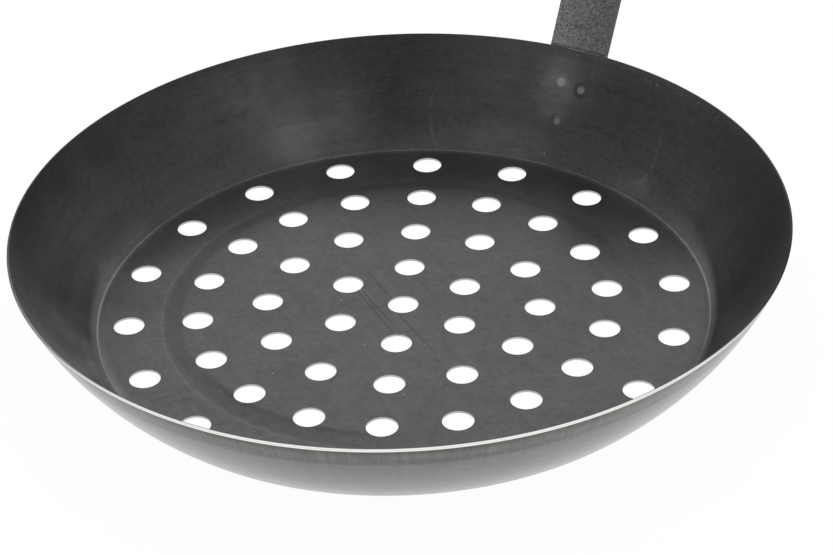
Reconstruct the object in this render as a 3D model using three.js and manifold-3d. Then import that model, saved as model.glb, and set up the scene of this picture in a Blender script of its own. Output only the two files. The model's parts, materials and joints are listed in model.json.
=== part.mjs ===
// A shallow roasting pan: one steel pressing with a perforated floor, and a steel strap handle
// riveted to the outside of its wall. Millimetres, +Z up. The pan stands on z = 0, its handle
// points along +Y, and the origin lies under the middle of the overall length and width.
import * as THREE from 'three';
import { mergeVertices } from 'three/addons/utils/BufferGeometryUtils.js';
import Module from 'manifold-3d';

// Pan
const rimRadius = 140.4; // outer face of the wall at the rim
const rimHeight = 39.6; // that edge above the surface the pan stands on
const baseRadius = 112.7; // outer face carried down to that surface, as if the bend were sharp
const wallCurve = 112; // radius of the wall's outward bulge, on the outer face
const sheet = 0.9; // thickness of the steel
const baseBend = 2; // inner radius of the bend between floor and wall
const stepOuter = 88; // shallow pressed step that lifts the middle of the floor
const stepInner = 82;
const stepRise = 0.2;

// Perforation: rings of holes about a middle hole
const holeDiameter = 11.2;
const ringPitch = 25.2;
const ringCounts = [1, 6, 12, 18, 18];
const patternTurn = THREE.MathUtils.degToRad(24.9); // the rings' common ray, left of the handle

// Strap handle
const strapWidth = 24.2; // at the foot
const gripWidth = 28; // at the free end
const strapThickness = 3;
const edgeBreak = 0.6; // chamfer along the strap's edges
const footLift = 2.6; // lowest corner of the foot above the surface the pan stands on
const neckLength = 42; // straight stretch above the upper rivets
const gripBend = 60; // radius of the bend into the grip, at the middle of the strap
const gripSlope = THREE.MathUtils.degToRad(17); // grip above level
const gripLength = 170;
const eyeWidth = 10; // slot to hang the pan by
const eyeLength = 20;
const eyeWeb = 6; // steel between that slot and the free end

// Rivets
const shankDiameter = 4;
const headDiameter = 7; // low head inside the pan
const headFlat = 4;
const headHeight = 0.6;
const headEdge = 0.25;
const domeDiameter = 8; // closed head behind the strap
const domeHeight = 2;
const lowerRivetRise = 12.2; // from the foot's end, along the strap
const lowerRivetShift = -1; // beside the strap's middle
const rivetPitch = 15.2; // from the lower rivet to the upper pair, along the strap
const pairSpacing = 9.4;
const pairShift = 1.3; // middle of the pair beside the strap's middle
const pairSkew = 1.2; // the left one of the pair above the right one

// Clearances
const seatGap = 0.3; // between faces that seat on each other
const shankGap = 0.3; // round a shank in its hole

// Fineness of round shapes
const panSegments = 96;
const holeSegments = 16;
const rivetSegments = 24;
const wallSteps = 6;
const bendSteps = 3;
const endSteps = 6;
const domeSteps = 5;
const curveSteps = 12; // sections of the strap for each radian of a bend
const straightSteps = 4; // sections of the strap along a straight stretch

const cutterReach = 4; // length of a cutter, in thicknesses of what it cuts

const wasm = await Module();
wasm.setup();

// A closed geometry as a solid that can be cut.
function solidOf(geometry) {
  const plain = geometry.clone();
  plain.deleteAttribute('normal');
  plain.deleteAttribute('uv');
  const merged = mergeVertices(plain);
  const corners = merged.index.array;
  const triangles = [];
  for (let i = 0; i < corners.length; i += 3) {
    const [a, b, c] = corners.slice(i, i + 3);
    if (a !== b && b !== c && c !== a) triangles.push(a, b, c);
  }
  return new wasm.Manifold(new wasm.Mesh({
    numProp: 3,
    vertProperties: merged.attributes.position.array,
    triVerts: new Uint32Array(triangles),
  }));
}

function geometryOf(solid) {
  const mesh = solid.getMesh();
  const geometry = new THREE.BufferGeometry();
  geometry.setAttribute('position', new THREE.BufferAttribute(mesh.vertProperties, 3));
  geometry.setIndex(new THREE.BufferAttribute(mesh.triVerts, 1));
  geometry.computeVertexNormals();
  return geometry;
}

function cut(geometry, cutters) {
  const left = cutters.reduce((solid, cutter) => solid.subtract(solidOf(cutter)), solidOf(geometry));
  return geometryOf(left);
}

function named(name, geometry, material) {
  const mesh = new THREE.Mesh(geometry, material);
  mesh.name = name;
  return mesh;
}

// Points of an arc in a section of radius and height.
function arc(centre, radius, from, to, steps) {
  return Array.from({ length: steps + 1 }, (_, i) => {
    const angle = THREE.MathUtils.lerp(from, to, i / steps);
    return new THREE.Vector2(Math.cos(angle), Math.sin(angle)).multiplyScalar(radius).add(centre);
  });
}

// Section of the wall: an arc from the base to the rim, rounded into the floor by the bend.
const rimPoint = new THREE.Vector2(rimRadius, rimHeight);
const basePoint = new THREE.Vector2(baseRadius, 0);
const chord = rimPoint.clone().sub(basePoint);
const towardsAxis = new THREE.Vector2(-chord.y, chord.x).normalize();
const wallCentre = rimPoint.clone().add(basePoint).multiplyScalar(0.5)
  .addScaledVector(towardsAxis, Math.sqrt(wallCurve ** 2 - chord.lengthSq() / 4));
const rimAngle = Math.atan2(rimHeight - wallCentre.y, rimRadius - wallCentre.x);
const bendRadius = baseBend + sheet;
const bendReach = Math.sqrt((wallCurve - bendRadius) ** 2 - (wallCentre.y - bendRadius) ** 2);
const bendCentre = new THREE.Vector2(wallCentre.x + bendReach, bendRadius);
const bendAngle = Math.atan2(bendRadius - wallCentre.y, bendReach);
const straightDown = -Math.PI / 2;

function panProfile() {
  const underside = [
    new THREE.Vector2(0, stepRise),
    new THREE.Vector2(stepInner, stepRise),
    new THREE.Vector2(stepOuter, 0),
  ];
  const outerFace = [
    ...arc(bendCentre, bendRadius, straightDown, bendAngle, bendSteps),
    ...arc(wallCentre, wallCurve, bendAngle, rimAngle, wallSteps).slice(1),
  ];
  const innerFace = [
    ...arc(wallCentre, wallCurve - sheet, rimAngle, bendAngle, wallSteps),
    ...arc(bendCentre, baseBend, bendAngle, straightDown, bendSteps).slice(1),
  ];
  const floor = underside.map((point) => new THREE.Vector2(point.x, point.y + sheet)).reverse();
  return [...underside, ...outerFace, ...innerFace, ...floor];
}

// One cutter for each hole in the floor.
function floorHoles() {
  const depth = cutterReach * (sheet + stepRise);
  return ringCounts.flatMap((count, ring) => Array.from({ length: count }, (_, i) => {
    const angle = Math.PI / 2 + patternTurn + (2 * Math.PI * i) / count;
    const radius = ring * ringPitch;
    return new THREE.CylinderGeometry(holeDiameter / 2, holeDiameter / 2, depth, holeSegments)
      .rotateX(Math.PI / 2)
      .translate(radius * Math.cos(angle), radius * Math.sin(angle), 0);
  }));
}

// Side view of the strap, along the middle of its thickness: it follows the wall up to the upper
// rivets, leaves it straight past the rim, then bends out into the grip.
const strapRadius = wallCurve + seatGap + strapThickness / 2;
const footAngle = -Math.asin((wallCentre.y - footLift) / (strapRadius + strapThickness / 2));
const footLength = lowerRivetRise + rivetPitch;
const leaveAngle = footAngle + footLength / strapRadius;
const neckSlope = leaveAngle + Math.PI / 2;
const stretches = [
  { length: footLength, curve: 1 / strapRadius },
  { length: neckLength, curve: 0 },
  { length: gripBend * (neckSlope - gripSlope), curve: -1 / gripBend },
  { length: gripLength, curve: 0 },
];
const strapLength = stretches.reduce((sum, stretch) => sum + stretch.length, 0);

// Radius, height and slope of the strap's middle at a distance from the foot's end.
function strapAt(distance) {
  let radius = wallCentre.x + strapRadius * Math.cos(footAngle);
  let height = wallCentre.y + strapRadius * Math.sin(footAngle);
  let slope = footAngle + Math.PI / 2;
  let left = distance;
  for (const { length, curve } of stretches) {
    const run = Math.min(left, length);
    const turn = curve * run;
    const step = curve === 0 ? run : (2 * Math.sin(turn / 2)) / curve;
    radius += step * Math.cos(slope + turn / 2);
    height += step * Math.sin(slope + turn / 2);
    slope += turn;
    left -= run;
  }
  return { radius, height, slope };
}

// How closely the strap is dished round the pan: fully at the foot, flat at the end of the neck.
function dishAt(distance) {
  return 1 - THREE.MathUtils.smoothstep(distance, footLength, footLength + neckLength);
}

// A point of the strap: across its width, and out from its middle to its outer face.
function strapPoint(distance, across, out) {
  const { radius, height, slope } = strapAt(distance);
  const reach = radius + out * Math.sin(slope);
  const level = height - out * Math.cos(slope);
  const dish = dishAt(distance) / reach;
  if (dish === 0) return new THREE.Vector3(across, reach, level);
  const turn = across * dish;
  return new THREE.Vector3(Math.sin(turn) / dish, reach - (1 - Math.cos(turn)) / dish, level);
}

// Half the strap's width: it widens from the upper rivets to the free end, and both ends are round.
function halfWidthAt(distance) {
  const widening = THREE.MathUtils.smoothstep(distance, footLength, strapLength - gripWidth / 2);
  const side = THREE.MathUtils.lerp(strapWidth, gripWidth, widening) / 2;
  const fromEnd = Math.min(distance, strapLength - distance);
  const short = Math.max(side - fromEnd, 0);
  return Math.sqrt(side ** 2 - short ** 2);
}

// Distances of the strap's sections: close together at the round ends and along its bends.
function strapStations() {
  const endAngles = Array.from({ length: endSteps }, (_, i) => ((i + 1) / endSteps) * (Math.PI / 2));
  const roundEnd = (half) => endAngles.map((angle) => half * (1 - Math.cos(angle)));
  const foot = roundEnd(strapWidth / 2);
  const free = roundEnd(gripWidth / 2).reverse().map((inset) => strapLength - inset);
  const middle = [];
  let start = 0;
  for (const { length, curve } of stretches) {
    const steps = curve === 0 ? straightSteps : Math.ceil(length * Math.abs(curve) * curveSteps);
    for (let i = 1; i <= steps; i += 1) middle.push(start + (length * i) / steps);
    start += length;
  }
  const inner = middle.filter((distance) => distance > foot.at(-1) && distance < free[0]);
  return [...foot, ...inner, ...free];
}

// Outline of one section of the strap, as distances across and out, with broken edges.
function strapSection(side) {
  const flat = side - edgeBreak;
  const face = strapThickness / 2;
  const edge = face - edgeBreak;
  const across = [-flat, -flat / 2, 0, flat / 2, flat];
  return [
    ...across.map((place) => [place, -face]),
    [side, -edge],
    [side, edge],
    ...across.reverse().map((place) => [place, face]),
    [-side, edge],
    [-side, -edge],
  ];
}

function strapGeometry() {
  const rings = strapStations().map((distance) => strapSection(halfWidthAt(distance))
    .map(([across, out]) => strapPoint(distance, across, out)));
  const size = rings[0].length;
  const triangles = [];
  for (let ring = 0; ring + 1 < rings.length; ring += 1) {
    for (let i = 0; i < size; i += 1) {
      const a = ring * size + i;
      const b = ring * size + ((i + 1) % size);
      triangles.push(a, b, b + size, a, b + size, a + size);
    }
  }
  const last = (rings.length - 1) * size;
  for (let i = 1; i + 1 < size; i += 1) {
    triangles.push(0, i + 1, i);
    triangles.push(last, last + i, last + i + 1);
  }
  const geometry = new THREE.BufferGeometry().setFromPoints(rings.flat());
  geometry.setIndex(triangles);
  return geometry;
}

// The slot near the free end, as a cutter.
function eyeCutter() {
  const depth = cutterReach * strapThickness;
  const offset = (eyeLength - eyeWidth) / 2;
  const outline = new THREE.Shape();
  outline.absarc(0, offset, eyeWidth / 2, 0, Math.PI);
  outline.absarc(0, -offset, eyeWidth / 2, Math.PI, 2 * Math.PI);
  const { radius, height, slope } = strapAt(strapLength - eyeWeb - eyeLength / 2);
  const settings = { depth, bevelEnabled: false, curveSegments: holeSegments / 2 };
  return new THREE.ExtrudeGeometry(outline, settings)
    .translate(0, 0, -depth / 2)
    .rotateX(slope)
    .translate(0, radius, height);
}

// Rivets: each stands square to the strap, on its middle plane, with its +Y axis out of the pan.
const rivetPlaces = [
  {
    name: 'rivet_upper_left',
    distance: footLength + pairSkew / 2,
    across: pairShift - pairSpacing / 2,
  },
  {
    name: 'rivet_upper_right',
    distance: footLength - pairSkew / 2,
    across: pairShift + pairSpacing / 2,
  },
  { name: 'rivet_lower', distance: lowerRivetRise, across: lowerRivetShift },
];

function rivetSeat({ distance, across }) {
  const middle = strapPoint(distance, across, 0);
  const outwards = strapPoint(distance, across, 1).sub(middle).normalize();
  const turn = new THREE.Quaternion().setFromUnitVectors(new THREE.Vector3(0, 1, 0), outwards);
  return { middle, turn };
}

function rivetHole(place) {
  const { middle, turn } = rivetSeat(place);
  const radius = shankDiameter / 2 + shankGap;
  const depth = cutterReach * (strapThickness + sheet);
  return new THREE.CylinderGeometry(radius, radius, depth, holeSegments)
    .applyQuaternion(turn)
    .translate(middle.x, middle.y, middle.z);
}

function rivetGeometry() {
  const outerSeat = strapThickness / 2 + seatGap;
  const innerSeat = -strapThickness / 2 - seatGap - sheet - seatGap;
  const dome = Array.from({ length: domeSteps + 1 }, (_, i) => {
    const angle = (i / domeSteps) * (Math.PI / 2);
    const radius = (domeDiameter / 2) * Math.cos(angle);
    return new THREE.Vector2(radius, outerSeat + domeHeight * Math.sin(angle));
  });
  dome.at(-1).x = 0;
  const profile = [
    new THREE.Vector2(0, innerSeat - headHeight),
    new THREE.Vector2(headFlat / 2, innerSeat - headHeight),
    new THREE.Vector2(headDiameter / 2, innerSeat - headEdge),
    new THREE.Vector2(headDiameter / 2, innerSeat),
    new THREE.Vector2(shankDiameter / 2, innerSeat),
    new THREE.Vector2(shankDiameter / 2, outerSeat),
    ...dome,
  ];
  return geometryOf(solidOf(new THREE.LatheGeometry(profile, rivetSegments)));
}

const bluedSteel = new THREE.MeshStandardMaterial({ color: 0x55585a, roughness: 0.4, metalness: 1 });
const hammeredCoat = new THREE.MeshStandardMaterial({ color: 0x4a4b4d, roughness: 0.55, metalness: 0.2 });
const brightSteel = new THREE.MeshStandardMaterial({ color: 0x8a8c8c, roughness: 0.4, metalness: 1 });

const pressing = new THREE.LatheGeometry(panProfile(), panSegments).rotateX(Math.PI / 2);
const rivetHoles = rivetPlaces.map(rivetHole);

const assembly = new THREE.Group();
assembly.add(named('pan_body', cut(pressing, [...floorHoles(), ...rivetHoles]), bluedSteel));
assembly.add(named('handle_strap', cut(strapGeometry(), [eyeCutter(), ...rivetHoles]), hammeredCoat));
for (const place of rivetPlaces) {
  const { middle, turn } = rivetSeat(place);
  const rivet = named(place.name, rivetGeometry(), brightSteel);
  rivet.position.copy(middle);
  rivet.quaternion.copy(turn);
  assembly.add(rivet);
}

// The origin goes under the middle of the overall length.
const extent = new THREE.Box3().setFromObject(assembly);
assembly.position.y = -(extent.min.y + extent.max.y) / 2;

const pan = new THREE.Group();
pan.add(assembly);

export default pan;
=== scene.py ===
import json
from math import asin, atan2, ceil, cos, hypot, pi, radians, sin, sqrt
import bmesh
import bpy
from mathutils import Matrix, Vector

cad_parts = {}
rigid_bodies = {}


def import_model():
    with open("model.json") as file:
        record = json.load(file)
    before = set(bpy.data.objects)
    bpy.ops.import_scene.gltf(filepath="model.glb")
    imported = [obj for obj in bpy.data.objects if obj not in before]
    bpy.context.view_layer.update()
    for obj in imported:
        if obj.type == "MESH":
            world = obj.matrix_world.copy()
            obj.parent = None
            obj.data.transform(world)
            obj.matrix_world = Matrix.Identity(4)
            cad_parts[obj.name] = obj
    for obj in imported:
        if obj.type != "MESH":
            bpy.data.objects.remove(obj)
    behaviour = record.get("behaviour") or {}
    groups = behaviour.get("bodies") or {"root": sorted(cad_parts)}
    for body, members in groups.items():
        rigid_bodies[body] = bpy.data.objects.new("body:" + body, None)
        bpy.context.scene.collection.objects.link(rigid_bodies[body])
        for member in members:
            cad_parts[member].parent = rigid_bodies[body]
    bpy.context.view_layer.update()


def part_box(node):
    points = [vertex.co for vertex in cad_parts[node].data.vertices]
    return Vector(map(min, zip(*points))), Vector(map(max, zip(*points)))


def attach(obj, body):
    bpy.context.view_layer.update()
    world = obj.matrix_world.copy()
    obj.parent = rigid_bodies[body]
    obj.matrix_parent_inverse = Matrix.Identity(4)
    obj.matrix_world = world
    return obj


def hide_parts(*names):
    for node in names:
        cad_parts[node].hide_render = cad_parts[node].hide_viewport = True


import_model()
mm = 0.001
panLow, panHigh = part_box("pan_body")
axisY = (panLow.y + panHigh.y) / 2  # the pan's own axis stands here
print("frame loaded, pan axis at y =", round(axisY, 4))


class Wire:  # a value in a shader: maths on it adds Math nodes
    def __init__(self, look, node, out):
        self.look = look
        self.node = node
        self.socket = node.outputs[out] if node.outputs else None

    def __getitem__(self, out):  # another output of the same node
        return Wire(self.look, self.node, out)

    def maths(self, operation, first, second=0.0):
        return self.look.add("ShaderNodeMath", {"operation": operation}, {0: first, 1: second})

    def __add__(self, other):
        return self.maths("ADD", self, other)

    def __radd__(self, other):
        return self.maths("ADD", other, self)

    def __sub__(self, other):
        return self.maths("SUBTRACT", self, other)

    def __rsub__(self, other):
        return self.maths("SUBTRACT", other, self)

    def __mul__(self, other):
        return self.maths("MULTIPLY", self, other)

    def __rmul__(self, other):
        return self.maths("MULTIPLY", other, self)

    def __truediv__(self, other):
        return self.maths("DIVIDE", self, other)

    def __pow__(self, other):
        return self.maths("POWER", self, other)


class Look:  # a node tree being built
    def __init__(self, block):
        self.block = block
        block.use_nodes = True
        self.tree = block.node_tree
        self.tree.nodes.clear()

    def add(self, kind, settings=None, sockets=None, out=0):
        node = self.tree.nodes.new(kind)
        for key, value in (settings or {}).items():
            setattr(node, key, value)
        for key, value in (sockets or {}).items():
            if isinstance(value, Wire):
                self.tree.links.new(value.socket, node.inputs[key])
            else:
                node.inputs[key].default_value = value
        return Wire(self, node, out)

    def vector(self, operation, first, second=(0, 0, 0), out="Vector"):
        return self.add("ShaderNodeVectorMath", {"operation": operation}, {0: first, 1: second}, out)

    def combine(self, x, y, z):
        return self.add("ShaderNodeCombineXYZ", {}, {"X": x, "Y": y, "Z": z})

    def split(self, vector):
        parts = self.add("ShaderNodeSeparateXYZ", {}, {"Vector": vector})
        return parts["X"], parts["Y"], parts["Z"]

    def noise(self, place, scale, detail=2.0, rough=0.5):
        sockets = {"Vector": place, "Scale": scale, "Detail": detail, "Roughness": rough}
        return self.add("ShaderNodeTexNoise", {}, sockets)

    def ramp(self, value, start, end, low=0.0, high=1.0):  # smooth step from low to high
        sockets = {"Value": value, "From Min": start, "From Max": end, "To Min": low, "To Max": high}
        return self.add("ShaderNodeMapRange", {"interpolation_type": "SMOOTHSTEP"}, sockets)

    def mix(self, share, first, second):  # colours; sockets 6 and 7 are the colour pair
        return self.add("ShaderNodeMix", {"data_type": "RGBA"}, {0: share, 6: first, 7: second}, 2)

    def tint(self, value, colour):  # a colour times a value
        return self.vector("MULTIPLY", self.combine(value, value, value), colour)

    def wipe(self, place, turn):  # streaks across the floor, turned from the x axis
        sockets = {"Vector": place, "Angle": -turn}
        turned = self.add("ShaderNodeVectorRotate", {"rotation_type": "Z_AXIS"}, sockets)
        return self.noise(self.vector("MULTIPLY", turned, (30, 700, 30)), 1.0, 4.0, 0.6)

    def near(self, value, middle, reach):  # soft band about a value
        return self.ramp(value.maths("ABSOLUTE", value - middle), 0.0, reach, 1.0, 0.0)

    def total(self, marks, draw):  # the sum of what draw makes of each mark
        drawn = [draw(mark) for mark in marks]
        return sum(drawn[1:], drawn[0])

    def path(self, place, points, width):  # thin mark through a list of points
        return self.total(zip(points, points[1:]), lambda pair: self.line(place, *pair, width))

    def blob(self, place, centre, size):  # soft round mark
        away = self.vector("DISTANCE", place, [c * mm for c in centre], "Value")
        return self.ramp(away, 0.0, size * mm, 1.0, 0.0)

    def line(self, place, start, end, width):  # thin mark from point to point
        start, end = start * mm, end * mm
        run = end - start
        rel = self.vector("SUBTRACT", place, start)
        dot = self.vector("DOT_PRODUCT", rel, run / run.length_squared, "Value")
        along = self.add("ShaderNodeClamp", {}, {"Value": dot})
        foot = self.add("ShaderNodeVectorMath", {"operation": "SCALE"}, {0: run, "Scale": along})
        away = self.vector("DISTANCE", rel, foot, "Value")
        return self.ramp(away, 0.0, width * mm, 1.0, 0.0)


def newLook(name):
    return Look(bpy.data.materials.new(name))


def clearPick():
    if bpy.context.object and bpy.context.object.mode != "OBJECT":
        bpy.ops.object.mode_set(mode="OBJECT")
    bpy.ops.object.select_all(action="DESELECT")


def startPiece(name):  # the primitive just added becomes a piece at the origin, in edit mode
    piece = bpy.context.object
    piece.name = name
    piece.data.name = name
    bpy.ops.object.transform_apply(location=True, rotation=True, scale=True)
    bpy.ops.object.mode_set(mode="EDIT")
    bpy.ops.mesh.select_mode(type="EDGE")
    return piece


def pickEdges(piece, test):  # selects the edges that pass the test
    bpy.ops.mesh.select_all(action="DESELECT")
    mesh = bmesh.from_edit_mesh(piece.data)
    for edge in mesh.edges:
        edge.select_set(test(edge))
    bmesh.update_edit_mesh(piece.data)


def extrudeRing(rise, scale, centre):  # extrudes what is selected, then scales it
    bpy.ops.mesh.extrude_region_move(TRANSFORM_OT_translate={"value": rise})
    bpy.ops.transform.resize(value=scale, center_override=centre)


def closeUp(piece, upward=None):  # merge doubles, face one way
    bpy.ops.mesh.select_all(action="SELECT")
    bpy.ops.mesh.remove_doubles(threshold=0.00001)
    bpy.ops.mesh.normals_make_consistent(inside=False)
    if upward:
        mesh = bmesh.from_edit_mesh(piece.data)
        if sum(f.normal.dot(upward) * f.calc_area() for f in mesh.faces) < 0:
            bpy.ops.mesh.flip_normals()
    bpy.ops.object.mode_set(mode="OBJECT")


def useModifier(piece, kind, **settings):
    modifier = piece.modifiers.new(kind.title(), kind)
    for key, value in settings.items():
        setattr(modifier, key, value)
    bpy.ops.object.modifier_apply(modifier=modifier.name)


def finishPiece(piece, look, nodes, angle):
    clearPick()
    piece.select_set(True)
    bpy.context.view_layer.objects.active = piece
    bpy.ops.object.shade_smooth_by_angle(angle=radians(angle))
    useModifier(piece, "WEIGHTED_NORMAL", keep_sharp=True, weight=80)
    piece.data.materials.clear()
    piece.data.materials.append(look)
    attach(piece, "root")
    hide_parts(*nodes)


# Pan: a punched floor with a shallow step, a bend and a bulging wall, in millimetres
pan = {
    "rimRadius": 140.4, "rimHeight": 39.6, "baseRadius": 112.7, "wallCurve": 112.0,
    "sheet": 0.9, "baseBend": 2.0, "stepOuter": 88.0, "stepInner": 82.0, "stepRise": 0.07,
    "holeRadius": 5.6, "holeLand": 6.2, "ringPitch": 25.2, "ringCounts": (1, 6, 12, 18, 18),
    "patternTurn": radians(24.9), "around": 256, "holeAround": 40,
    "stepRings": 8, "bendRings": 8, "wallRings": 28, "edgeRound": 0.14,
    "slack": 0.05,  # when a ring is picked by its radius
    "inset": 0.002,  # off the sheet, so that it stays inside the frame's box
}

rimPoint = Vector((pan["rimRadius"], pan["rimHeight"]))
basePoint = Vector((pan["baseRadius"], 0.0))
chord = rimPoint - basePoint
towardsAxis = Vector((-chord.y, chord.x)).normalized()
wallDepth = sqrt(pan["wallCurve"] ** 2 - chord.length_squared / 4)  # from the chord to the curve's centre
wallCentre = (rimPoint + basePoint) / 2 + towardsAxis * wallDepth
rimAngle = atan2(pan["rimHeight"] - wallCentre.y, pan["rimRadius"] - wallCentre.x)
bendRadius = pan["baseBend"] + pan["sheet"]
bendReach = sqrt((pan["wallCurve"] - bendRadius) ** 2 - (wallCentre.y - bendRadius) ** 2)
bendCentre = Vector((wallCentre.x + bendReach, bendRadius))
floorEnd = bendCentre.x  # radius of the flat floor
bendAngle = atan2(bendRadius - wallCentre.y, bendReach)
innerCurve = pan["wallCurve"] - pan["sheet"]
axisFoot = (0, axisY, 0)


def holePlaces(rings):
    places = []
    for ring in rings:
        for i in range(pan["ringCounts"][ring]):
            angle = pi / 2 + pan["patternTurn"] + 2 * pi * i / pan["ringCounts"][ring]
            places.append((ring * pan["ringPitch"] * cos(angle), ring * pan["ringPitch"] * sin(angle)))
    return places


def addCircle(radius, level, count, x=0.0, y=0.0):
    place = (x * mm, axisY + y * mm, level * mm)
    bpy.ops.mesh.primitive_circle_add(vertices=count, radius=radius * mm, location=place)


def onCircle(edge, radius, x=0.0, y=0.0):  # both ends that far from a point of the floor
    reaches = [hypot(v.co.x / mm - x, (v.co.y - axisY) / mm - y) for v in edge.verts]
    return all(abs(reach - radius) < pan["slack"] for reach in reaches)


def punchHoles(places, level):  # one hole with the flat land round it, then its copies
    addCircle(pan["holeRadius"], level, pan["holeAround"], *places[0])
    grow = pan["holeLand"] / pan["holeRadius"]
    centre = (places[0][0] * mm, axisY + places[0][1] * mm, level * mm)
    extrudeRing((0, 0, 0), (grow, grow, 1), centre)
    bpy.ops.mesh.select_linked()
    for before, after in zip(places, places[1:]):
        step = ((after[0] - before[0]) * mm, (after[1] - before[1]) * mm, 0)
        bpy.ops.mesh.duplicate_move(TRANSFORM_OT_translate={"value": step})


def fillFloor(piece, places, edgeRadii, level):  # the sheet between the holes
    def onLand(edge):
        middle = (edge.verts[0].co + edge.verts[1].co) / 2
        x, y = middle.x / mm, (middle.y - axisY) / mm
        hole = min(places, key=lambda p: hypot(x - p[0], y - p[1]))
        return onCircle(edge, pan["holeLand"], *hole)

    def wanted(edge):
        if any(abs(v.co.z - level * mm) > 1e-6 for v in edge.verts):
            return False
        return any(onCircle(edge, radius) for radius in edgeRadii) or onLand(edge)

    pickEdges(piece, wanted)
    bpy.ops.mesh.fill(use_beauty=True)


def growRing(radii, levels):  # extrudes the picked ring through a list of radii and heights
    for (r0, r1), (z0, z1) in zip(zip(radii, radii[1:]), zip(levels, levels[1:])):
        extrudeRing((0, 0, (z1 - z0) * mm), (r1 / r0, r1 / r0, 1), axisFoot)


def makePan():
    sheet, rise, inner, outer = pan["sheet"], pan["stepRise"], pan["stepInner"], pan["stepOuter"]
    clearPick()
    addCircle(inner, sheet + rise, pan["around"])
    piece = startPiece("pan_shell")
    middleHoles = holePlaces(range(4))
    punchHoles(middleHoles, sheet + rise)
    fillFloor(piece, middleHoles, [inner], sheet + rise)

    shares = [i / pan["stepRings"] for i in range(pan["stepRings"] + 1)]
    pickEdges(piece, lambda edge: onCircle(edge, inner))
    growRing([inner + (outer - inner) * s for s in shares],
             [sheet + rise * (1 - s * s * (3 - 2 * s)) for s in shares])

    addCircle(floorEnd, sheet, pan["around"])
    outerHoles = holePlaces([4])
    punchHoles(outerHoles, sheet)
    fillFloor(piece, outerHoles, [outer, floorEnd], sheet)

    down, bends, walls = -pi / 2, pan["bendRings"], pan["wallRings"]
    bend = [down + (bendAngle - down) * i / bends for i in range(bends + 1)]
    wall = [bendAngle + (rimAngle - bendAngle) * i / walls for i in range(1, walls + 1)]
    section = [bendCentre + pan["baseBend"] * Vector((cos(a), sin(a))) for a in bend]
    section += [wallCentre + innerCurve * Vector((cos(a), sin(a))) for a in wall]
    pickEdges(piece, lambda edge: onCircle(edge, floorEnd))
    growRing([p.x for p in section], [p.y for p in section])
    closeUp(piece, Vector((0, 0, 1)))
    thickness = (sheet - pan["inset"]) * mm
    useModifier(piece, "SOLIDIFY", thickness=thickness, offset=-1, use_even_offset=True)
    useModifier(piece, "BEVEL", width=pan["edgeRound"] * mm, segments=2, limit_method="ANGLE",
                angle_limit=radians(60))
    return piece


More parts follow.
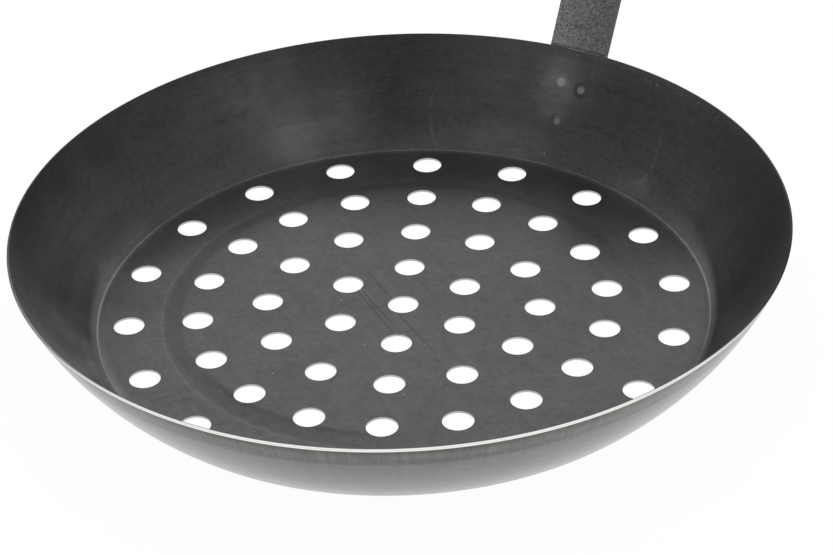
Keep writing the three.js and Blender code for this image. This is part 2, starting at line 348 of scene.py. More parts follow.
# Marks of use on the pan, and patches of painted light and shade, in degrees about its axis and millimetres
wearAndPaintedLight = {
    # turn, height, reach and strength of lighter patches (smudges and painted light) and duller patches (dull
    # spots and painted shade) on the wall
    "wallLight": [
        (142, 8, 18, 0.56), (142, 15, 36, 0.3), (145, 27, 24, 0.3), (150, 28, 22, 0.18),
        (155, 32, 18, 0.14), (132, 14, 22, 0.24), (141, 36, 12, 0.1), (167, 39, 14, 0.14),
        (159, 22, 17, 0.12), (104, 5, 14, 0.3), (97, 8, 20, 0.2), (113.5, 2.5, 10, 0.12),
        (102, 27, 24, 0.22), (67.5, 6.5, 8, 0.25), (55, 10, 15, 0.14), (42, 8, 14, 0.14), (70, 2, 14, 0.14),
        (91.5, 30, 13, 0.85), (92, 22, 13, 0.42), (88, 22.5, 12, 0.22), (93, 36, 15, 0.12),  # by the rivets
        (94, 25, 13, 0.3), (97, 32, 14, 0.14), (86, 34, 12, 0.14), (92, 16.5, 8, 0.26),
        (-163, 23, 20, 0.36), (-154, 23, 21, 0.45), (-175, 18, 24, 0.16), (-168, 12, 20, 0.16),
        (-162, 7, 15, 0.34), (-176, 2, 14, 0.2), (-148, 22, 14, 0.2), (-156, 8.5, 12, 0.28),
        (-151, 8, 11, 0.2), (-145, 6.5, 11, 0.3), (-140, 18, 19, 0.4), (-136, 11, 18, 0.6),
        (-133, 22.5, 10, 0.2), (-125.5, 15, 12, 0.3), (-128, 9, 11, 0.14),
    ],
    "wallDull": [
        (120, 30, 34, 0.22), (122, 17, 20, 0.14), (78, 23, 36, 0.12), (179, 31, 16, 0.18),
        (168, 35, 18, 0.08), (-169, 32, 15, 0.12), (-127, 35, 14, 0.3), (29, 27, 26, 0.36),
        (24, 13, 18, 0.36), (16, 28, 22, 0.36), (14, 19, 14, 0.18), (125, 6, 22, 0.16),
        (117, 4, 22, 0.2), (105, 3, 14, 0.14), (101, 1.5, 12, 0.16), (138, 4, 14, 0.12),
        (144, 2, 14, 0.3), (-128, 1, 22, 0.15),
    ],
    # x, y, reach and strength of those on the floor (smudges, dull spots and painted reflection)
    "floorLight": [
        (-57, 86, 24, 0.12), (-53, 92, 14, 0.26), (-62, 76, 18, 0.24), (48, 86, 22, 0.12), (63, 77, 14, 0.08),
    ],
    "floorDull": [
        (12, 99, 30, 0.26), (-95, -47, 22, 0.24), (-86, -67, 18, 0.12), (-83, -72, 16, 0.08),
        (-85, -8, 34, 0.13), (-79, -38, 26, 0.1), (-46, 50, 34, 0.2), (-20, 66, 32, 0.22),
        (8, 75, 26, 0.18), (31, 69, 18, 0.14), (101, 46, 14, 0.08), (-80, 22, 20, 0.12),
    ],
    # marks on the wall: half width, light given or taken, and the turn and height of their points
    "wallScratches": {"width": 1.1, "light": 0.03, "paths": [
        [(114, 20.5), (115, 17), (115, 11), (114.5, 5.5), (113.5, 2)],
        [(69, 24), (68.5, 19), (67.5, 11.5), (68, 7), (70.5, 3.5)],
        [(86, 38), (86, 31.5)], [(70.5, 36), (70.5, 34)],
    ]},
    "wallStreaks": {"width": 2.2, "light": -0.018, "paths": [[(-130, 18.5), (-128, 13.5), (-126.5, 8.5)]]},
    # painted highlight: a broad light band along the bend on the left
    "bendStreaks": {"width": 4.8, "light": 0.06, "paths": [[(-138, 5), (-131, 5), (-124.5, 5)]]},
    "rimLines": {"width": 0.9, "light": 0.018, "paths": [
        [(155, 36.5), (146.5, 35.5), (138, 35)], [(154.5, 38), (146.5, 37), (131.5, 36)],
    ]},
    "ticks": {"width": 0.45, "light": 0.03, "paths": [  # outside
        [(-81.5, 38), (-82, 32)], [(-80.5, 37.5), (-80.5, 31.5)], [(-69.5, 37.5), (-69.5, 33)],
        [(-68, 38), (-68, 35)], [(-58.5, 38.5), (-59, 34)], [(-57, 38), (-57, 35.5)],
        [(-46, 38), (-45.5, 33.5)], [(-77, 35.5), (-77.5, 32.5)],
    ]},
    # the same on the floor, with the x and y of their points
    "floorScratches": {"width": 0.5, "light": -0.075, "paths": [
        [(-23, 13), (-9.5, 4)], [(1, -6), (25, -21)], [(-23.5, 2.5), (7, -18.5)], [(-17.5, 0.5), (3, -13)],
    ]},
    "floorLines": {"width": 0.45, "light": -0.025, "paths": [
        [(-3.5, 31.5), (7.5, 24.5)], [(14.5, 47), (32, 40)], [(1, 27), (25, 14.5)],
    ]},
    "floorStreaks": {"width": 1.5, "light": -0.012, "paths": [
        [(-52.5, -93.5), (-47.5, -85.5)], [(-43.5, -95), (-37.5, -85.5)],
        [(-57, -91.5), (-50.5, -88)], [(-48, -94), (-42.5, -85.5)],
    ]},
    "floorShades": {"width": 6.0, "light": -0.007, "paths": [
        [(39.5, -60.5), (39.5, -32)], [(-15, -77.5), (14, -81)], [(-52.5, 68.5), (-52, 85.5)],
    ]},
    "coolBand": {"width": 75.0, "light": 1.0, "paths": [[(-38, -20), (79, -78)]]},  # where the floor is bluer
    "wallSpecks": [
        (76, 37), (75, 37), (73.5, 37), (69, 37.5), (68, 37.5), (64, 38), (59, 37.5), (89.5, 38),
        (91, 4), (-138, 5),
    ],
    "floorSpecks": [(-22, -8), (1, -29), (-19, -59), (29, -49)],
    "speckReach": 0.7, "speckLight": 0.2, "patchLight": 0.2, "floorLevel": 1.2,
    "wipes": (radians(-33.5), radians(28)), "pictureTurn": radians(31.58),
}

# The pan's finish: how much it reflects, its tints and how rough it is
steel = {
    "shine": 0.113, "floorTint": (0.984, 1.0, 1.016), "coolTint": (0.954, 1.0, 1.048),
    "wallTint": (0.976, 1.0, 1.016), "outerTint": (1.04, 1.0, 0.95),
    "punched": (0.46, 0.45, 0.42, 1), "bare": (0.95, 0.94, 0.92, 1),
    "floorRough": 0.26, "wallRough": 0.42, "outerRough": 0.19, "bareRough": 0.28, "sheen": 0.12,
}


def wallPlace(turn, rise, curve=innerCurve):  # a point of the wall
    radius = wallCentre.x + sqrt(curve ** 2 - (wallCentre.y - rise) ** 2)
    return Vector((radius * cos(radians(turn)), radius * sin(radians(turn)), rise))


def outerPlace(turn, rise):
    return wallPlace(turn, rise, pan["wallCurve"])


def floorPlace(x, y):
    return Vector((x, y, wearAndPaintedLight["floorLevel"]))


def bluedSteel():
    look = newLook("blued_steel")
    spot = look.add("ShaderNodeTexCoord", out="Object")
    place = look.add("ShaderNodeMapping", {}, {"Vector": spot, "Location": (0, -axisY, 0)})
    x, y, z = look.split(place)
    facing = look.split(look.add("ShaderNodeNewGeometry", out="Normal"))[2]
    radius = (x * x + y * y) ** 0.5
    across, along = x / (radius + 0.0001), y / (radius + 0.0001)
    turnCos, turnSin = cos(wearAndPaintedLight["pictureTurn"]), sin(wearAndPaintedLight["pictureTurn"])
    right = across * turnCos + along * turnSin  # 1 at the right of the picture
    ahead = across * turnSin - along * turnCos  # 1 at its front
    meridian = radius + z
    outside = look.ramp(facing, -0.12, 0.12, 1.0, 0.0)
    inside = 1 - outside
    overWall, overFloor = radius - wallCentre.x * mm, z - wallCentre.y * mm
    polar = look.add("ShaderNodeMath", {"operation": "ARCTAN2"}, {0: overFloor, 1: overWall})
    fromRim = (rimAngle - polar) * (innerCurve * mm)  # along the wall, down from the cut edge

    def ring(middle, reach):  # soft ring about the axis
        return look.near(radius, middle * mm, reach * mm)

    def beyond(start, end):  # fades in outwards
        return look.ramp(radius, start * mm, end * mm)

    def underRim(start, end):  # fades out down the wall
        return look.ramp(fromRim, start * mm, end * mm, 1.0, 0.0)

    def patches(name, placeOf):
        return look.total(wearAndPaintedLight[name], lambda m: look.blob(place, placeOf(*m[:2]), m[2]) * m[3])

    def strokes(name, placeOf):
        kind = wearAndPaintedLight[name]
        paths = [[placeOf(*point) for point in path] for path in kind["paths"]]
        return look.total(paths, lambda path: look.path(place, path, kind["width"])) * kind["light"]

    def specks(name, placeOf):
        return look.total(wearAndPaintedLight[name], lambda p: look.blob(place, placeOf(*p), wearAndPaintedLight["speckReach"]))

    onWall = beyond(floorEnd - 3.1, floorEnd + 3.4)
    onFloor = 1 - onWall
    spun = look.noise(look.combine(across * 1.6, along * 1.6, meridian * 500), 1.0, 4.0, 0.6)
    spunFine = look.noise(look.combine(across * 6, along * 6, meridian * 2200), 1.0, 2.0)
    spunMottle = look.noise(look.combine(across * 34, along * 34, meridian * 560), 1.0, 2.0, 0.6)
    brushed = look.noise(look.combine(across * 3, along * 3, meridian * 240), 1.0, 4.0, 0.6)
    drawn = look.noise(look.combine(across * 150, along * 150, meridian * 14), 1.0, 3.0, 0.6)
    ringed = look.noise(look.combine(across * 2, along * 2, radius * 900), 1.0, 3.0, 0.6)
    firstWipe, secondWipe = [look.wipe(place, turn) for turn in wearAndPaintedLight["wipes"]]
    cloud = look.noise(place, 18, 3.0, 0.55)
    cloudFine = look.noise(place, 150, 4.0, 0.6)
    mottle = look.noise(place, 480, 2.0, 0.6)
    dust = look.noise(place, 1100, 2.0, 0.6)
    fleck = look.noise(place, 700, 1.0)

    spunGrain = (spun - 0.5) * 0.2 + (spunFine - 0.5) * 0.14 + (brushed - 0.5) * 0.34
    spunGrain = spunGrain + (spunMottle - 0.5) * 0.48 + (mottle - 0.5) * 0.4
    wiped = (firstWipe - 0.5) * 0.34 + (secondWipe - 0.5) * 0.28
    wiped = wiped + (mottle - 0.5) * 0.45 + (dust - 0.5) * 0.1
    grain = onWall * spunGrain + onFloor * wiped
    grain = grain + (cloud - 0.5) * 0.4 + (cloudFine - 0.5) * 0.32 + (dust - 0.5) * 0.3
    # painted shade: the floor a little darker towards the camera's right
    rightFloorShade = onFloor * look.ramp(right * radius, 0.0, 0.07)
    shine = steel["shine"] * (1 + grain * (1 - 0.3 * outside)) * (1 - 0.09 * rightFloorShade)

    # smudges with painted light, and dull spots with painted shade
    light = patches("wallLight", wallPlace) + patches("floorLight", floorPlace)
    light = light * (0.35 + 0.7 * brushed + 0.6 * (cloudFine - 0.5)) * wearAndPaintedLight["patchLight"]
    dulledAndShaded = patches("wallDull", wallPlace) + patches("floorDull", floorPlace)
    dulledAndShaded = dulledAndShaded * (0.75 + 0.5 * look.ramp(cloudFine, 0.42, 0.62))
    nick = strokes("floorScratches", floorPlace)
    marks = nick + strokes("wallScratches", wallPlace) * look.ramp(cloudFine, 0.35, 0.6, 0.3, 1.0)
    for name in ("wallStreaks", "bendStreaks", "rimLines"):
        marks = marks + strokes(name, wallPlace)
    for name in ("floorLines", "floorStreaks", "floorShades"):
        marks = marks + strokes(name, floorPlace)
    marks = marks + (specks("wallSpecks", wallPlace) + specks("floorSpecks", floorPlace)) * wearAndPaintedLight["speckLight"]
    shine = shine * (1 - dulledAndShaded * inside) + (light + marks) * inside

    # painted reflection brightening the wall near its left contour and painted shade darkening it on the
    # right, both stronger towards the rim
    contour = 0.65 + 0.65 * underRim(6, 30)  # more so towards the rim
    leftPaintedSheen = look.ramp(right, -0.95, -0.6, 1.0, 0.0) * look.ramp(ahead, -0.1, 0.25)
    leftPaintedSheen = leftPaintedSheen * look.ramp(ahead, 0.26, 0.36, 1.0, 2.5)
    rightPaintedShade = look.ramp(right, 0.6, 0.95) * look.ramp(ahead, -0.05, 0.3) * 0.42
    shine = shine * (1 + (leftPaintedSheen - rightPaintedShade) * contour * onWall * inside)

    # painted shade across the floor's step, strongest at the front left, and a painted highlight along its
    # outer edge
    stepIn, stepOut = pan["stepInner"], pan["stepOuter"]
    leftFront = look.ramp(across * -0.66 - along * 0.75, -0.1, 0.9)
    stepSlope = beyond(stepIn - 1.8, stepIn + 0.6) * (1 - beyond(stepOut - 1.6, stepOut + 0.8))
    stepFront = ring(stepIn - 1.7, 2.6) * look.ramp(along, -0.95, -0.8, 1.0, 0.0)
    stepShade = (stepSlope * leftFront * 0.19 + stepFront * 0.28) * (0.4 + 1.2 * ringed)
    stepHighlight = ring(stepOut + 0.9, 0.7) * (0.008 + 0.014 * leftFront)

    # painted highlight along the bend: a dusty line at the back and broad bands on the left and right flanks,
    # with painted shade over the bend that tones down its own highlight
    flanks = look.ramp(right.maths("ABSOLUTE", right), 0.7, 0.9)
    sides = flanks * look.ramp(ahead, -0.6, 0.2)
    bendDustAndGlint = look.ramp(dust + cloudFine * 0.4, 0.5, 0.8)
    bendHighlight = ring(floorEnd - 0.3, 0.8) * bendDustAndGlint * (0.045 - 0.04 * sides)
    flankHighlightReach = look.ramp(ahead, -0.6, 0.1, 0.008, 0.0024)  # up the wall, less so towards the front
    bendFlankHighlight = look.ramp(radius - (floorEnd + 1.5) * mm, 0.0, flankHighlightReach, 1.0, 0.0)
    bendFlankHighlight = bendFlankHighlight * beyond(floorEnd + 0.2, floorEnd + 1.1) * flanks * look.ramp(ahead, -0.6, 0.1)
    bendHighlight = bendHighlight + bendFlankHighlight * (0.7 + 0.6 * cloudFine) * 0.3
    bendShade = ring(floorEnd + 0.6, 1.2) * (0.5 + cloudFine) * (1 - sides)
    bendShade = bendShade + ring(floorEnd - 0.2, 1.2) * sides * look.ramp(ahead, 0.0, 0.25, 0.4, 0.0)

    # light specks and a thin light line just inside the rim on the right, and painted light on the upper
    # back-right wall
    rimDust = look.near(fromRim, 0.0024, 0.0026) * look.ramp(right, 0.66, 0.74) * look.ramp(fleck, 0.66, 0.74)
    backRight = look.ramp(right, 0.0, 0.5) * look.ramp(ahead, -0.25, 0.0, 1.0, 0.0)
    rimLight = look.near(fromRim, 0.0013, 0.0013) * look.ramp(right, 0.1, 0.7) * dust * 0.05
    rimLight = rimLight + rimDust * 0.14 + underRim(0, 14) * backRight * 0.028
    shine = shine * (1 - stepShade) * (1 - 0.35 * bendShade)
    shine = shine + (stepHighlight + bendHighlight + rimLight) * inside

    band = underRim(8.8, 10.8)  # darker strip under the rim, outside
    middle = (1 - underRim(1, 5)) * underRim(6, 8.7)
    strip = 0.46 - 0.46 * band + 0.22 * middle - 0.2 * underRim(0.5, 3.5)
    strip = strip + (0.45 + 0.55 * band) * (drawn - 0.5) + (0.2 + 0.4 * band) * (dust - 0.5)
    strip = strip + 0.5 * band * (brushed - 0.5)
    # painted shade: the outside darker under the rim on the left
    strip = strip - 0.24 * look.ramp(right, -0.6, -0.2, 1.0, 0.0) * underRim(4, 14)
    shine = shine * (1 + outside * strip) + outside * strokes("ticks", outerPlace)

    bare = look.ramp(fromRim - 0.0007 * outside, 0.00004, 0.0002, 1.0, 0.0)  # the cut edge
    cut = ((overWall * overWall + overFloor * overFloor) ** 0.5 - innerCurve * mm) / (pan["sheet"] * mm)
    # the bare cut edge, with a painted highlight that makes it brighter towards the front
    wornAndLit = look.ramp(cut + 0.85 * look.ramp(ahead, 0.3, 0.82), 0.95, 1.3)  # at the front, outer edge first
    byStrap = look.near(x, 0.0004, 0.0055) * 1.5 + look.near(x, 0.008, 0.005) * 0.4
    bare = bare * (wornAndLit + byStrap * look.ramp(y, 0.11, 0.13))
    punched = look.ramp(facing.maths("ABSOLUTE", facing), 0.45, 0.75, 1.0, 0.0) * onFloor

    cooler = strokes("coolBand", floorPlace) * (0.4 + 0.6 * firstWipe + 0.6 * secondWipe)
    flatTone = look.mix(cooler, look.tint(shine, steel["floorTint"]), look.tint(shine, steel["coolTint"]))
    inner = look.mix(onWall, flatTone, look.tint(shine, steel["wallTint"]))
    colour = look.mix(outside, inner, look.tint(shine, steel["outerTint"]))
    colour = look.mix(punched, colour, steel["punched"])
    colour = look.mix(bare, colour, steel["bare"])
    flatRough = steel["floorRough"] + 0.08 * (cloud - 0.5) + 0.05 * (dust - 0.5)
    wallRough = steel["wallRough"] + 0.1 * (cloud - 0.5) + 0.1 * (dust - 0.5)
    wallRough = wallRough - (steel["wallRough"] - steel["outerRough"]) * outside
    wallRough = wallRough + (steel["bareRough"] - wallRough) * bare
    height = onWall * spunFine * 0.6 + onFloor * (firstWipe + secondWipe) * 0.4 + 0.6 * dust + 40 * nick
    bump = look.add("ShaderNodeBump", {}, {"Strength": 0.12, "Distance": 0.00003, "Height": height})
    flat = look.add("ShaderNodeBsdfPrincipled", {}, {
        "Base Color": colour, "Metallic": 1.0, "Roughness": flatRough, "Normal": bump})
    wall = look.add("ShaderNodeBsdfPrincipled", {}, {
        "Base Color": colour, "Metallic": 1.0, "Roughness": wallRough, "Normal": bump,
        "Sheen Weight": steel["sheen"], "Sheen Roughness": 0.5})
    metal = look.add("ShaderNodeMixShader", {}, {0: onWall, 1: flat, 2: wall})
    look.add("ShaderNodeOutputMaterial", {}, {"Surface": metal})
    return look.block


panPiece = makePan()
finishPiece(panPiece, bluedSteel(), ["pan_body"], 40)
print("pan modelled:", len(panPiece.data.polygons), "faces")

# Handle: one strip, dished round the wall at its foot, straight past the rim, bent into the grip
strap = {
    "width": 24.2, "gripWidth": 28.0, "thickness": 3.0, "footLift": 2.6, "neckLength": 42.0,
    "gripBend": 60.0, "gripSlope": radians(17), "gripLength": 170.0,
    "eyeWidth": 10.0, "eyeLength": 20.0, "eyeWeb": 6.0, "seatGap": 0.3,
    "across": 8, "endSteps": 14, "stepLength": 4.0, "eyeAround": 50, "edgeRound": 0.7,
}
rivet = {
    "lowerRise": 12.2, "lowerShift": -1.0, "pitch": 15.2,
    "pairSpacing": 9.4, "pairShift": 1.3, "pairSkew": 1.2,
    # radius, and height over the wall, from the flat face to the flange
    "head": [(1.6, 0.26), (1.95, 0.23), (2.2, 0.15), (2.5, 0.11), (2.9, 0.12), (3.3, 0.08), (3.5, 0.01)],
    "shank": 2.0, "dome": 4.0, "domeHeight": 2.0, "domeSteps": 8, "around": 48,
    # how bright each head's middle and flange are worn, and the middle's radius
    "rub": {"rivet_upper_left": (0.4, 0.15, 2.1), "rivet_upper_right": (0.24, 0.0, 1.75),
            "rivet_lower": (0.16, 0.01, 1.6)},
    "rubDepth": 0.5,  # the middle of the wear lies this far inside the wall
}

strapRadius = pan["wallCurve"] + strap["seatGap"] + strap["thickness"] / 2
footAngle = -asin((wallCentre.y - strap["footLift"]) / (strapRadius + strap["thickness"] / 2))
footLength = rivet["lowerRise"] + rivet["pitch"]
leaveAngle = footAngle + footLength / strapRadius
neckSlope = leaveAngle + pi / 2
stretches = [
    (footLength, 1 / strapRadius), (strap["neckLength"], 0.0),
    (strap["gripBend"] * (neckSlope - strap["gripSlope"]), -1 / strap["gripBend"]),
    (strap["gripLength"], 0.0),
]
strapLength = sum(length for length, curve in stretches)
endInset = 1 - cos(radians(15))  # the strip stops this share of its half width short
strapStart = strap["width"] / 2 * endInset
strapStop = strapLength - strap["gripWidth"] / 2 * endInset


def smoothStep(value, start, end):
    share = min(max((value - start) / (end - start), 0.0), 1.0)
    return share * share * (3 - 2 * share)


def strapAt(distance):  # radius, height and slope of the strip's middle
    radius = wallCentre.x + strapRadius * cos(footAngle)
    height = wallCentre.y + strapRadius * sin(footAngle)
    slope = footAngle + pi / 2
    left = distance
    for length, curve in stretches:
        run = min(left, length)
        turn = curve * run
        step = run if curve == 0 else 2 * sin(turn / 2) / curve
        radius += step * cos(slope + turn / 2)
        height += step * sin(slope + turn / 2)
        slope += turn
        left -= run
    return radius, height, slope


def dishAt(distance):  # how closely the strip is curved round the pan
    return 1 - smoothStep(distance, footLength, footLength + strap["neckLength"])


def halfWidthAt(distance):
    widening = smoothStep(distance, footLength, strapLength - strap["gripWidth"] / 2)
    side = (strap["width"] + (strap["gripWidth"] - strap["width"]) * widening) / 2
    fromEnd = min(distance - strapStart, strapStop - distance)
    short = max(1 - fromEnd / (side * (1 - endInset)), 0.0)
    return side * sqrt(max(1 - short ** 2, 0.0))


def seatOf(distance, across):  # a point of the strip's middle, and the way out of the pan there
    radius, height, slope = strapAt(distance)
    turn = across / radius
    point = Vector((radius * sin(turn), axisY / mm + radius * cos(turn), height)) * mm
    out = Vector((sin(slope) * sin(turn), sin(slope) * cos(turn), -cos(slope)))
    return point, out


def drawStrip(before, distances):  # extrudes the picked section from one distance to the next
    for after in distances:
        r0, z0 = strapAt(before)[:2]
        r1, z1 = strapAt(after)[:2]
        wide = halfWidthAt(after) / halfWidthAt(before)
        curve0, curve1 = dishAt(before) / r0, dishAt(after) / r1
        deep = wide ** 2 * curve1 / curve0 if curve0 > 0 else 1.0
        middle = (0, axisY + r1 * mm, z1 * mm)
        extrudeRing((0, (r1 - r0) * mm, (z1 - z0) * mm), (wide, deep, 1), middle)
        before = after


def makeStrap():
    foot, tip = strap["width"] / 2, strapLength - strap["gripWidth"] / 2
    clearPick()
    radius, height = strapAt(foot)[:2]
    pitch = strap["width"] / strap["across"]
    addCircle(radius, height, round(2 * pi * radius / pitch))
    piece = startPiece("handle_strip")
    pickEdges(piece, lambda edge: max(abs(v.co.x) for v in edge.verts) > (foot + pitch / 2) * mm
              or min(v.co.y for v in edge.verts) < axisY)
    bpy.ops.mesh.delete(type="EDGE")
    bpy.ops.mesh.select_all(action="SELECT")
    reach = max(v.co.x for v in bmesh.from_edit_mesh(piece.data).verts) / mm
    bpy.ops.transform.resize(value=(foot / reach, 1, 1), center_override=axisFoot)

    count = ceil((tip - foot) / strap["stepLength"])
    rises = [foot + (tip - foot) * (i + 1) / count for i in range(count)]
    turns = [(i + 1) / strap["endSteps"] * pi / 2 for i in range(strap["endSteps"])]
    ends = [tip + (strapStop - tip) * sin(a) for a in turns]
    drawStrip(foot, rises + ends)
    pickEdges(piece, lambda edge: all(abs(v.co.z - height * mm) < 1e-6 for v in edge.verts))
    drawStrip(foot, [foot - (foot - strapStart) * sin(a) for a in turns])
    closeUp(piece)
    useModifier(piece, "SOLIDIFY", thickness=strap["thickness"] * mm, offset=0, use_even_offset=True)
    cutter = makeEyeCutter()
    clearPick()
    piece.select_set(True)
    bpy.context.view_layer.objects.active = piece
    useModifier(piece, "BOOLEAN", object=cutter, operation="DIFFERENCE", solver="EXACT")
    bpy.data.objects.remove(cutter)
    useModifier(piece, "BEVEL", width=strap["edgeRound"] * mm, segments=3, limit_method="ANGLE",
                angle_limit=radians(50))
    return piece


def makeEyeCutter():  # the slot to hang the pan by, as a solid to cut with
    half, depth = (strap["eyeLength"] - strap["eyeWidth"]) / 2, 4 * strap["thickness"]
    clearPick()
    bpy.ops.mesh.primitive_circle_add(vertices=strap["eyeAround"], radius=strap["eyeWidth"] / 2 * mm,
                                      fill_type="NGON")
    cutter = startPiece("slot_cutter")
    for side in (-1, 1):
        pickEdges(cutter, lambda edge: all(v.co.y * side > 0 for v in edge.verts))
        bpy.ops.transform.translate(value=(0, side * half * mm, 0))
    bpy.ops.mesh.select_all(action="SELECT")
    bpy.ops.transform.translate(value=(0, 0, -depth / 2 * mm))
    bpy.ops.mesh.extrude_region_move(TRANSFORM_OT_translate={"value": (0, 0, depth * mm)})
    closeUp(cutter)
    radius, height, slope = strapAt(strapLength - strap["eyeWeb"] - strap["eyeLength"] / 2)
    seat = Matrix.Translation((0, axisY + radius * mm, height * mm))
    cutter.matrix_world = seat @ Matrix.Rotation(slope, 4, "X")
    return cutter


def hammeredCoat():
    look = newLook("hammered_coat")
    place = look.add("ShaderNodeTexCoord", out="Object")
    x, y, z = look.split(place)
    facing = look.split(look.add("ShaderNodeNewGeometry", out="Normal"))
    side, up = facing[0], facing[2]
    drops = look.noise(place, 1150, 2.0, 0.5)
    worms = look.noise(place, 620, 2.0, 0.5)
    fine = look.noise(place, 2600, 2.0, 0.6)
    cloud = look.noise(place, 45, 2.0)
    ridge = 1 - worms.maths("ABSOLUTE", worms - 0.5) * 7
    peak = look.ramp(drops + (fine - 0.5) * 0.3, 0.42, 0.7) * 0.7 + look.ramp(ridge, 0.0, 1.0) * 0.4
    # painted shade: the strip's side faces darker
    edge = look.ramp(side.maths("ABSOLUTE", side), 0.45, 0.85)
    # painted shadow on the strip just above the rim
    rimShadow = look.near(z, 0.0392, 0.0009) * look.ramp(up, 0.0, 0.3)  # where the rim meets the strip
    # painted light and shade: the strip lighter at the left and darker at the right towards its foot, and
    # lighter low on the left
    strapPaintedLight = 1 + look.ramp(x, -0.009, 0.008, 0.13, -0.21) * look.ramp(y, 0.06, 0.11, 1.0, 0.0)
    strapPaintedLight = strapPaintedLight + look.near(z, 0.041, 0.009) * look.ramp(x, -0.012, 0.0, 0.2, 0.0) * look.ramp(up, 0.0, 0.3)
    tone = 0.17 + 0.26 * peak + 0.05 * (cloud - 0.5)
    tone = tone * (1 - 0.65 * edge) * (1 - 0.4 * rimShadow) * strapPaintedLight
    colour = look.tint(tone, (0.985, 1.0, 1.01))
    rough = 0.5 + 0.2 * (fine - 0.5) + 0.1 * (cloud - 0.5)
    height = peak + fine * 0.2
    bump = look.add("ShaderNodeBump", {}, {"Strength": 0.6, "Distance": 0.0002, "Height": height})
    paint = look.add("ShaderNodeBsdfPrincipled", {}, {
        "Base Color": colour, "Roughness": rough, "Normal": bump, "Specular IOR Level": 0.5})
    look.add("ShaderNodeOutputMaterial", {}, {"Surface": paint})
    return look.block


strapPiece = makeStrap()
finishPiece(strapPiece, hammeredCoat(), ["handle_strap"], 50)
print("handle modelled:", len(strapPiece.data.polygons), "faces")


# Rivets: one turned shape with its axis out of the pan, then a copy for each place
def makeRivet():
    wallFace = -strap["thickness"] / 2 - strap["seatGap"] - pan["sheet"]
    strapFace = strap["thickness"] / 2
    section = [(radius, wallFace - over) for radius, over in rivet["head"]]
    section += [(rivet["head"][-1][0], wallFace), (rivet["shank"], wallFace), (rivet["shank"], strapFace)]
    for i in range(rivet["domeSteps"]):
        angle = i / rivet["domeSteps"] * pi / 2
        section.append((rivet["dome"] * cos(angle), strapFace + rivet["domeHeight"] * sin(angle)))
    clearPick()
    bpy.ops.mesh.primitive_circle_add(vertices=rivet["around"], radius=section[0][0] * mm,
                                      location=(0, 0, section[0][1] * mm))
    piece = startPiece("rivet")
    for (r0, z0), (r1, z1) in zip(section, section[1:]):
        extrudeRing((0, 0, (z1 - z0) * mm), (r1 / r0, r1 / r0, 1), (0, 0, 0))
    for level in (section[0][1], section[-1][1]):  # close both ends
        pickEdges(piece, lambda edge: all(abs(v.co.z - level * mm) < 1e-7 for v in edge.verts))
        bpy.ops.mesh.edge_face_add()
    closeUp(piece)
    return piece


def rivetSteel():
    look = newLook("rivet_steel")
    place = look.add("ShaderNodeTexCoord", out="Object")
    cloud = look.noise(place, 260, 3.0, 0.6)
    fine = look.noise(place, 1900, 3.0, 0.6)
    shine = 0.12 * (1 + 0.5 * (cloud - 0.5) + 0.4 * (fine - 0.5))
    for node, (distance, across) in rivetPlaces.items():  # the worn middle of each head
        point, out = seatOf(distance, across)
        depth = strap["thickness"] / 2 + strap["seatGap"] + pan["sheet"] + rivet["rubDepth"]
        middle, flange, reach = rivet["rub"][node]
        away = look.vector("DISTANCE", place, point - out * depth * mm, "Value")
        rub = look.ramp(away, 0.6 * reach * mm, 1.15 * reach * mm, 1.0, 0.0) * (middle - flange)
        shine = shine + (rub + look.ramp(away, 0.005, 0.006, flange, 0.0)) * (0.6 + 0.8 * cloud)
    colour = look.tint(shine, (0.99, 1.0, 1.0))
    bump = look.add("ShaderNodeBump", {}, {"Strength": 0.25, "Distance": 0.00005, "Height": fine})
    metal = look.add("ShaderNodeBsdfPrincipled", {}, {
        "Base Color": colour, "Metallic": 1.0, "Roughness": 0.4 + 0.2 * (fine - 0.5), "Normal": bump})
    look.add("ShaderNodeOutputMaterial", {}, {"Surface": metal})
    return look.block


rivetPlaces = {
    "rivet_upper_left": (footLength + rivet["pairSkew"] / 2, rivet["pairShift"] - rivet["pairSpacing"] / 2),
    "rivet_upper_right": (footLength - rivet["pairSkew"] / 2, rivet["pairShift"] + rivet["pairSpacing"] / 2),
    "rivet_lower": (rivet["lowerRise"], rivet["lowerShift"]),
}
firstRivet = makeRivet()
rivetLook = rivetSteel()
for node, (distance, across) in rivetPlaces.items():
    clearPick()
    firstRivet.select_set(True)
    bpy.context.view_layer.objects.active = firstRivet
    bpy.ops.object.duplicate()
    copy = bpy.context.object
    copy.name = node.replace("rivet", "head")
    point, out = seatOf(distance, across)
    copy.matrix_world = Matrix.Translation(point) @ out.to_track_quat("Z", "X").to_matrix().to_4x4()
    bpy.ops.object.transform_apply(location=True, rotation=True, scale=True)
    finishPiece(copy, rivetLook, [node], 35)
bpy.data.objects.remove(firstRivet)
print("rivets placed:", len(rivetPlaces))

# Stage: pale floor, soft light, and the camera of the photograph (millimetres from the pan's axis)
stage = {
    "camera": (404.88, -647.57, 509.78), "aim": (-4.46, 17.47, 1.2), "roll": radians(-2.66), "lens": 107.7,
    "lamp": (-341, 554, 1462), "lampSize": 2.68, "lampPower": 12.1, "room": 0.33,
    "floorWidth": 8.0, "floorLevel": -0.0002, "floorGlow": 0.93, "floorWhite": 1.04,
}


def fromAxis(point):
    return Vector((point[0], point[1] + axisY / mm, point[2])) * mm


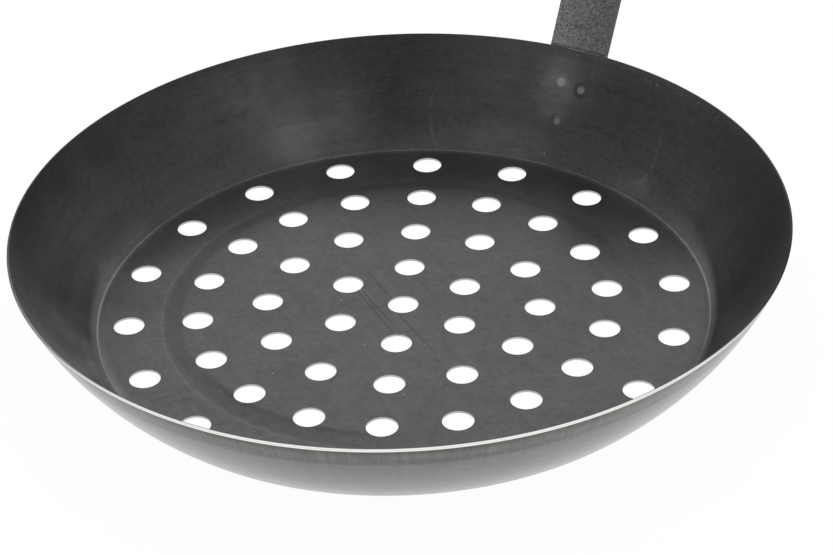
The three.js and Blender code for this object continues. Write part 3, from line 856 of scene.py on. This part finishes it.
def makeFloor():
    clearPick()
    bpy.ops.mesh.primitive_plane_add(size=stage["floorWidth"], location=(0, axisY, stage["floorLevel"]))
    floor = bpy.context.object
    floor.name = "floor"
    look = newLook("pale_floor")
    path = look.add("ShaderNodeLightPath")
    seen = path.maths("MAXIMUM", path["Is Camera Ray"], path["Is Glossy Ray"])
    seen = path.maths("MAXIMUM", seen, path["Is Transmission Ray"])
    matt = look.add("ShaderNodeBsdfDiffuse", {}, {"Color": (0.9, 0.9, 0.9, 1)})
    glow = look.add("ShaderNodeEmission", {}, {"Color": (1, 1, 1, 1), "Strength": stage["floorWhite"]})
    both = look.add("ShaderNodeMixShader", {}, {0: seen * stage["floorGlow"], 1: matt, 2: glow})
    look.add("ShaderNodeOutputMaterial", {}, {"Surface": both})
    floor.data.materials.append(look.block)


def makeWorld():  # a dim even room, white where the camera sees it
    scene = bpy.context.scene
    scene.world = bpy.data.worlds.new("studio")
    look = Look(scene.world)
    path = look.add("ShaderNodeLightPath")
    soft = look.add("ShaderNodeBackground", {}, {"Color": (1, 1, 1, 1), "Strength": stage["room"]})
    white = look.add("ShaderNodeBackground", {}, {"Color": (1, 1, 1, 1), "Strength": 1.0})
    both = look.add("ShaderNodeMixShader", {}, {0: path["Is Camera Ray"], 1: soft, 2: white})
    look.add("ShaderNodeOutputWorld", {}, {"Surface": both})


def makeLamp():  # one big soft lamp behind the pan and above it
    data = bpy.data.lights.new("softbox", "AREA")
    data.shape = "DISK"
    data.size = stage["lampSize"]
    data.energy = stage["lampPower"]
    lamp = bpy.data.objects.new("softbox", data)
    bpy.context.scene.collection.objects.link(lamp)
    spot, aim = fromAxis(stage["lamp"]), fromAxis((0, 0, 0))
    turn = (aim - spot).to_track_quat("-Z", "Y").to_matrix()
    lamp.matrix_world = Matrix.Translation(spot) @ turn.to_4x4()
    lamp.visible_camera = False


def makeCamera():
    spot, aim = fromAxis(stage["camera"]), fromAxis(stage["aim"])
    data = bpy.data.cameras.new("camera")
    data.sensor_width = 36
    data.sensor_fit = "HORIZONTAL"
    data.lens = stage["lens"]
    data.clip_end = 50
    camera = bpy.data.objects.new("camera", data)
    bpy.context.scene.collection.objects.link(camera)
    turn = (aim - spot).to_track_quat("-Z", "Y").to_matrix() @ Matrix.Rotation(stage["roll"], 3, "Z")
    camera.matrix_world = Matrix.Translation(spot) @ turn.to_4x4()
    bpy.context.scene.camera = camera


makeFloor()
makeWorld()
makeLamp()
makeCamera()
bpy.context.scene.view_settings.view_transform = "Standard"
print("stage set")
